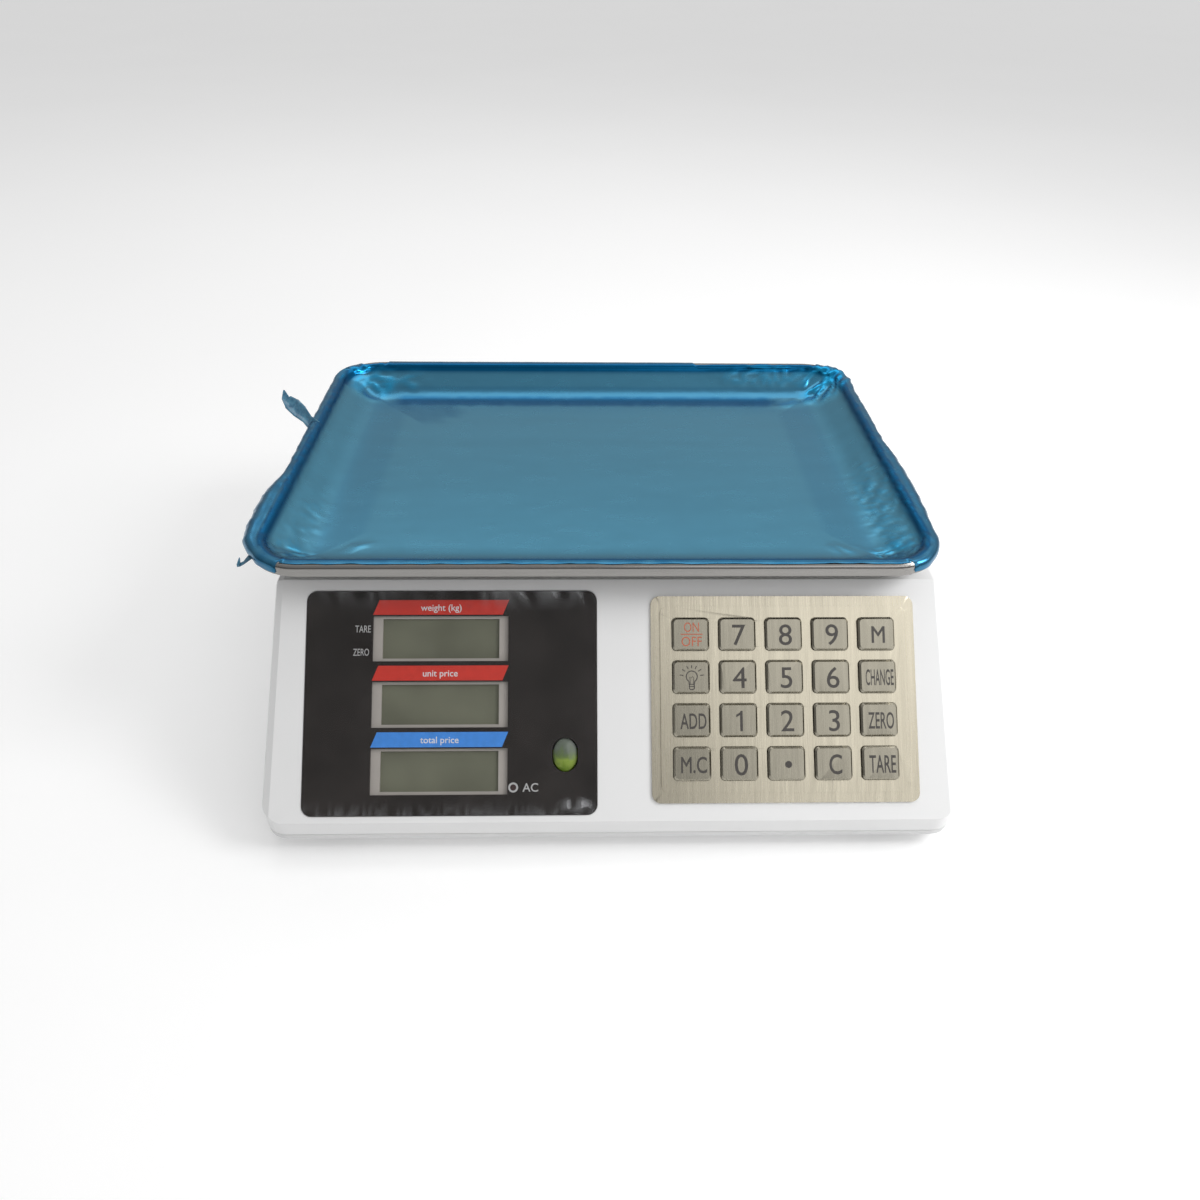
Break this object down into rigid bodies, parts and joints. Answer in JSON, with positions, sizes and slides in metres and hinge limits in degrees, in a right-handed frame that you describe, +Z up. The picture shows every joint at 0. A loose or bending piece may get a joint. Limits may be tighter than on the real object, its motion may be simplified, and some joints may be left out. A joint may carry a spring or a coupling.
{
  "type": "retail price scale",
  "caption": "Counter price-computing scale with a lift-off steel pan, sloped front, triple display panel and metal number keypad.",
  "frame": {"origin": "on the counter plane, under the centre of the object's bounding box", "axes": "+X to the right seen from the seller's side, -Y towards the seller, +Z up"},
  "size_m": [0.3474, 0.306, 0.1233],
  "materials": {
    "abs_white": "gloss",
    "abs_base": "satin",
    "stainless_pan": "polished",
    "blue_film": "gloss",
    "panel_black": "gloss",
    "clear_film": "gloss",
    "frame_grey": "satin",
    "lcd_glass": "gloss",
    "lamp_red": "gloss",
    "vial_green": "gloss",
    "keypad_metal": "brushed",
    "silicone_grey": "matte",
    "board_green": "satin",
    "cast_aluminium": "cast",
    "cushion_rubber": "matte",
    "cell_aluminium": "machined",
    "steel_grey": "plain",
    "bolt_zinc": "zinc plated",
    "battery_grey": "satin",
    "transformer_iron": "lacquered",
    "inlet_black": "satin",
    "key_metal": "brushed",
    "foot_rubber": "matte",
    "foot_plastic": "satin"
  },
  "bodies": {
    "base": {"upper_housing": "abs_white", "lower_housing": "abs_base", "display_panel": "panel_black", "display_film": "clear_film", "lcd_frame": "frame_grey", "lcd_weight": "lcd_glass", "lcd_unit_price": "lcd_glass", "lcd_total_price": "lcd_glass", "ac_lamp": "lamp_red", "level_vial": "vial_green", "keypad_plate": "keypad_metal", "keypad_mat": "silicone_grey", "keypad_board": "board_green", "display_board": "board_green", "rear_panel": "panel_black", "rear_lcds": "lcd_glass", "rear_board": "board_green", "main_board": "board_green", "load_cell": "cell_aluminium", "cell_spacer": "steel_grey", "cell_bolts_fixed": "bolt_zinc", "overload_stop": "steel_grey", "battery": "battery_grey", "transformer": "transformer_iron", "power_inlet": "inlet_black", "housing_screws": "bolt_zinc"},
    "spider": {"pan_spider": "cast_aluminium", "pan_cushions": "cushion_rubber", "cell_bolts_free": "bolt_zinc"},
    "pan": {"weighing_pan": "stainless_pan", "pan_film": "blue_film"},
    "key_on_off_body": {"key_on_off": "key_metal"},
    "key_7_body": {"key_7": "key_metal"},
    "key_8_body": {"key_8": "key_metal"},
    "key_9_body": {"key_9": "key_metal"},
    "key_m_body": {"key_m": "key_metal"},
    "key_light_body": {"key_light": "key_metal"},
    "key_4_body": {"key_4": "key_metal"},
    "key_5_body": {"key_5": "key_metal"},
    "key_6_body": {"key_6": "key_metal"},
    "key_change_body": {"key_change": "key_metal"},
    "key_add_body": {"key_add": "key_metal"},
    "key_1_body": {"key_1": "key_metal"},
    "key_2_body": {"key_2": "key_metal"},
    "key_3_body": {"key_3": "key_metal"},
    "key_zero_body": {"key_zero": "key_metal"},
    "key_mc_body": {"key_mc": "key_metal"},
    "key_0_body": {"key_0": "key_metal"},
    "key_dot_body": {"key_dot": "key_metal"},
    "key_c_body": {"key_c": "key_metal"},
    "key_tare_body": {"key_tare": "key_metal"},
    "pad_fl": {"foot_pad_fl": "foot_rubber"},
    "screw_fl": {"foot_screw_fl": "foot_plastic"},
    "pad_fr": {"foot_pad_fr": "foot_rubber"},
    "screw_fr": {"foot_screw_fr": "foot_plastic"},
    "pad_rl": {"foot_pad_rl": "foot_rubber"},
    "screw_rl": {"foot_screw_rl": "foot_plastic"},
    "pad_rr": {"foot_pad_rr": "foot_rubber"},
    "screw_rr": {"foot_screw_rr": "foot_plastic"},
    "door": {"battery_door": "abs_base"}
  },
  "joints": [
    {"name": "weigh_travel", "type": "slide", "parent": "base", "child": "spider", "axis": [0, 0, 1], "range_m": [-0.0005, 0], "stiffness_N_per_m": 600000, "deforming": ["load_cell"]},
    {"name": "pan_lift_off", "type": "slide", "parent": "spider", "child": "pan", "axis": [0, 0, 1], "range_m": [0, 0.06]},
    {"name": "key_on_off_press", "type": "slide", "parent": "base", "child": "key_on_off_body", "axis": [0, -0.7029, 0.7113], "range_m": [-0.001, 0], "stiffness_N_per_m": 250, "springref_m": 0.0005},
    {"name": "key_7_press", "type": "slide", "parent": "base", "child": "key_7_body", "axis": [0, -0.7029, 0.7113], "range_m": [-0.001, 0], "stiffness_N_per_m": 250, "springref_m": 0.0005},
    {"name": "key_8_press", "type": "slide", "parent": "base", "child": "key_8_body", "axis": [0, -0.7029, 0.7113], "range_m": [-0.001, 0], "stiffness_N_per_m": 250, "springref_m": 0.0005},
    {"name": "key_9_press", "type": "slide", "parent": "base", "child": "key_9_body", "axis": [0, -0.7029, 0.7113], "range_m": [-0.001, 0], "stiffness_N_per_m": 250, "springref_m": 0.0005},
    {"name": "key_m_press", "type": "slide", "parent": "base", "child": "key_m_body", "axis": [0, -0.7029, 0.7113], "range_m": [-0.001, 0], "stiffness_N_per_m": 250, "springref_m": 0.0005},
    {"name": "key_light_press", "type": "slide", "parent": "base", "child": "key_light_body", "axis": [0, -0.7029, 0.7113], "range_m": [-0.001, 0], "stiffness_N_per_m": 250, "springref_m": 0.0005},
    {"name": "key_4_press", "type": "slide", "parent": "base", "child": "key_4_body", "axis": [0, -0.7029, 0.7113], "range_m": [-0.001, 0], "stiffness_N_per_m": 250, "springref_m": 0.0005},
    {"name": "key_5_press", "type": "slide", "parent": "base", "child": "key_5_body", "axis": [0, -0.7029, 0.7113], "range_m": [-0.001, 0], "stiffness_N_per_m": 250, "springref_m": 0.0005},
    {"name": "key_6_press", "type": "slide", "parent": "base", "child": "key_6_body", "axis": [0, -0.7029, 0.7113], "range_m": [-0.001, 0], "stiffness_N_per_m": 250, "springref_m": 0.0005},
    {"name": "key_change_press", "type": "slide", "parent": "base", "child": "key_change_body", "axis": [0, -0.7029, 0.7113], "range_m": [-0.001, 0], "stiffness_N_per_m": 250, "springref_m": 0.0005},
    {"name": "key_add_press", "type": "slide", "parent": "base", "child": "key_add_body", "axis": [0, -0.7029, 0.7113], "range_m": [-0.001, 0], "stiffness_N_per_m": 250, "springref_m": 0.0005},
    {"name": "key_1_press", "type": "slide", "parent": "base", "child": "key_1_body", "axis": [0, -0.7029, 0.7113], "range_m": [-0.001, 0], "stiffness_N_per_m": 250, "springref_m": 0.0005},
    {"name": "key_2_press", "type": "slide", "parent": "base", "child": "key_2_body", "axis": [0, -0.7029, 0.7113], "range_m": [-0.001, 0], "stiffness_N_per_m": 250, "springref_m": 0.0005},
    {"name": "key_3_press", "type": "slide", "parent": "base", "child": "key_3_body", "axis": [0, -0.7029, 0.7113], "range_m": [-0.001, 0], "stiffness_N_per_m": 250, "springref_m": 0.0005},
    {"name": "key_zero_press", "type": "slide", "parent": "base", "child": "key_zero_body", "axis": [0, -0.7029, 0.7113], "range_m": [-0.001, 0], "stiffness_N_per_m": 250, "springref_m": 0.0005},
    {"name": "key_mc_press", "type": "slide", "parent": "base", "child": "key_mc_body", "axis": [0, -0.7029, 0.7113], "range_m": [-0.001, 0], "stiffness_N_per_m": 250, "springref_m": 0.0005},
    {"name": "key_0_press", "type": "slide", "parent": "base", "child": "key_0_body", "axis": [0, -0.7029, 0.7113], "range_m": [-0.001, 0], "stiffness_N_per_m": 250, "springref_m": 0.0005},
    {"name": "key_dot_press", "type": "slide", "parent": "base", "child": "key_dot_body", "axis": [0, -0.7029, 0.7113], "range_m": [-0.001, 0], "stiffness_N_per_m": 250, "springref_m": 0.0005},
    {"name": "key_c_press", "type": "slide", "parent": "base", "child": "key_c_body", "axis": [0, -0.7029, 0.7113], "range_m": [-0.001, 0], "stiffness_N_per_m": 250, "springref_m": 0.0005},
    {"name": "key_tare_press", "type": "slide", "parent": "base", "child": "key_tare_body", "axis": [0, -0.7029, 0.7113], "range_m": [-0.001, 0], "stiffness_N_per_m": 250, "springref_m": 0.0005},
    {"name": "foot_fl_travel", "type": "slide", "parent": "base", "child": "pad_fl", "axis": [0, 0, -1], "range_m": [0, 0.006]},
    {"name": "foot_fl_turn", "type": "hinge", "parent": "pad_fl", "child": "screw_fl", "pos_m": [-0.13475, -0.126, 0.006], "axis": [0, 0, 1], "range_deg": [0, 1730]},
    {"name": "foot_fr_travel", "type": "slide", "parent": "base", "child": "pad_fr", "axis": [0, 0, -1], "range_m": [0, 0.006]},
    {"name": "foot_fr_turn", "type": "hinge", "parent": "pad_fr", "child": "screw_fr", "pos_m": [0.14125, -0.126, 0.006], "axis": [0, 0, 1], "range_deg": [0, 1730]},
    {"name": "foot_rl_travel", "type": "slide", "parent": "base", "child": "pad_rl", "axis": [0, 0, -1], "range_m": [0, 0.006]},
    {"name": "foot_rl_turn", "type": "hinge", "parent": "pad_rl", "child": "screw_rl", "pos_m": [-0.13475, 0.126, 0.006], "axis": [0, 0, 1], "range_deg": [0, 1730]},
    {"name": "foot_rr_travel", "type": "slide", "parent": "base", "child": "pad_rr", "axis": [0, 0, -1], "range_m": [0, 0.006]},
    {"name": "foot_rr_turn", "type": "hinge", "parent": "pad_rr", "child": "screw_rr", "pos_m": [0.14125, 0.126, 0.006], "axis": [0, 0, 1], "range_deg": [0, 1730]},
    {"name": "battery_door_hinge", "type": "hinge", "parent": "base", "child": "door", "pos_m": [-0.04625, 0.0655, 0.009], "axis": [-1, 0, 0], "range_deg": [0, 80]}
  ],
  "couplings": [
    {"joint": "foot_fl_turn", "follows": "foot_fl_travel", "rad_per_m": 5026.5},
    {"joint": "foot_fr_turn", "follows": "foot_fr_travel", "rad_per_m": 5026.5},
    {"joint": "foot_rl_turn", "follows": "foot_rl_travel", "rad_per_m": 5026.5},
    {"joint": "foot_rr_turn", "follows": "foot_rr_travel", "rad_per_m": 5026.5}
  ]
}
